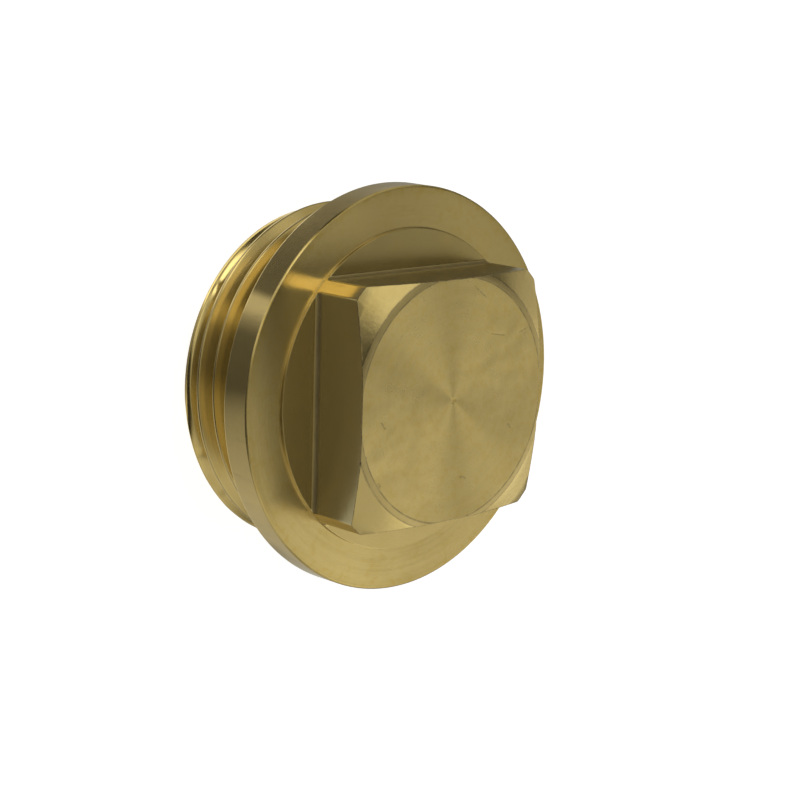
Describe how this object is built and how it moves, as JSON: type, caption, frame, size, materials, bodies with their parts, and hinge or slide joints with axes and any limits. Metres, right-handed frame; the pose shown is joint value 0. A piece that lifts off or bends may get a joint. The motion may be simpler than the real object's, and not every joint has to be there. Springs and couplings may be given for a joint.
{
  "type": "cleanout plug",
  "caption": "Flanged brass screw plug with a parallel pipe thread, a seating flange and a raised square head for a wrench; closes a drain cleanout.",
  "frame": {"origin": "on the plug's axis, in the plane of the flange's seat", "axes": "+Z along the axis towards the square head's face; the flats of the square face X and Y"},
  "size_m": [0.0383, 0.0382, 0.0196],
  "materials": {
    "brass": "satin turned and milled, with handling marks"
  },
  "bodies": {
    "root": {"plug_body": "brass"}
  },
  "joints": []
}
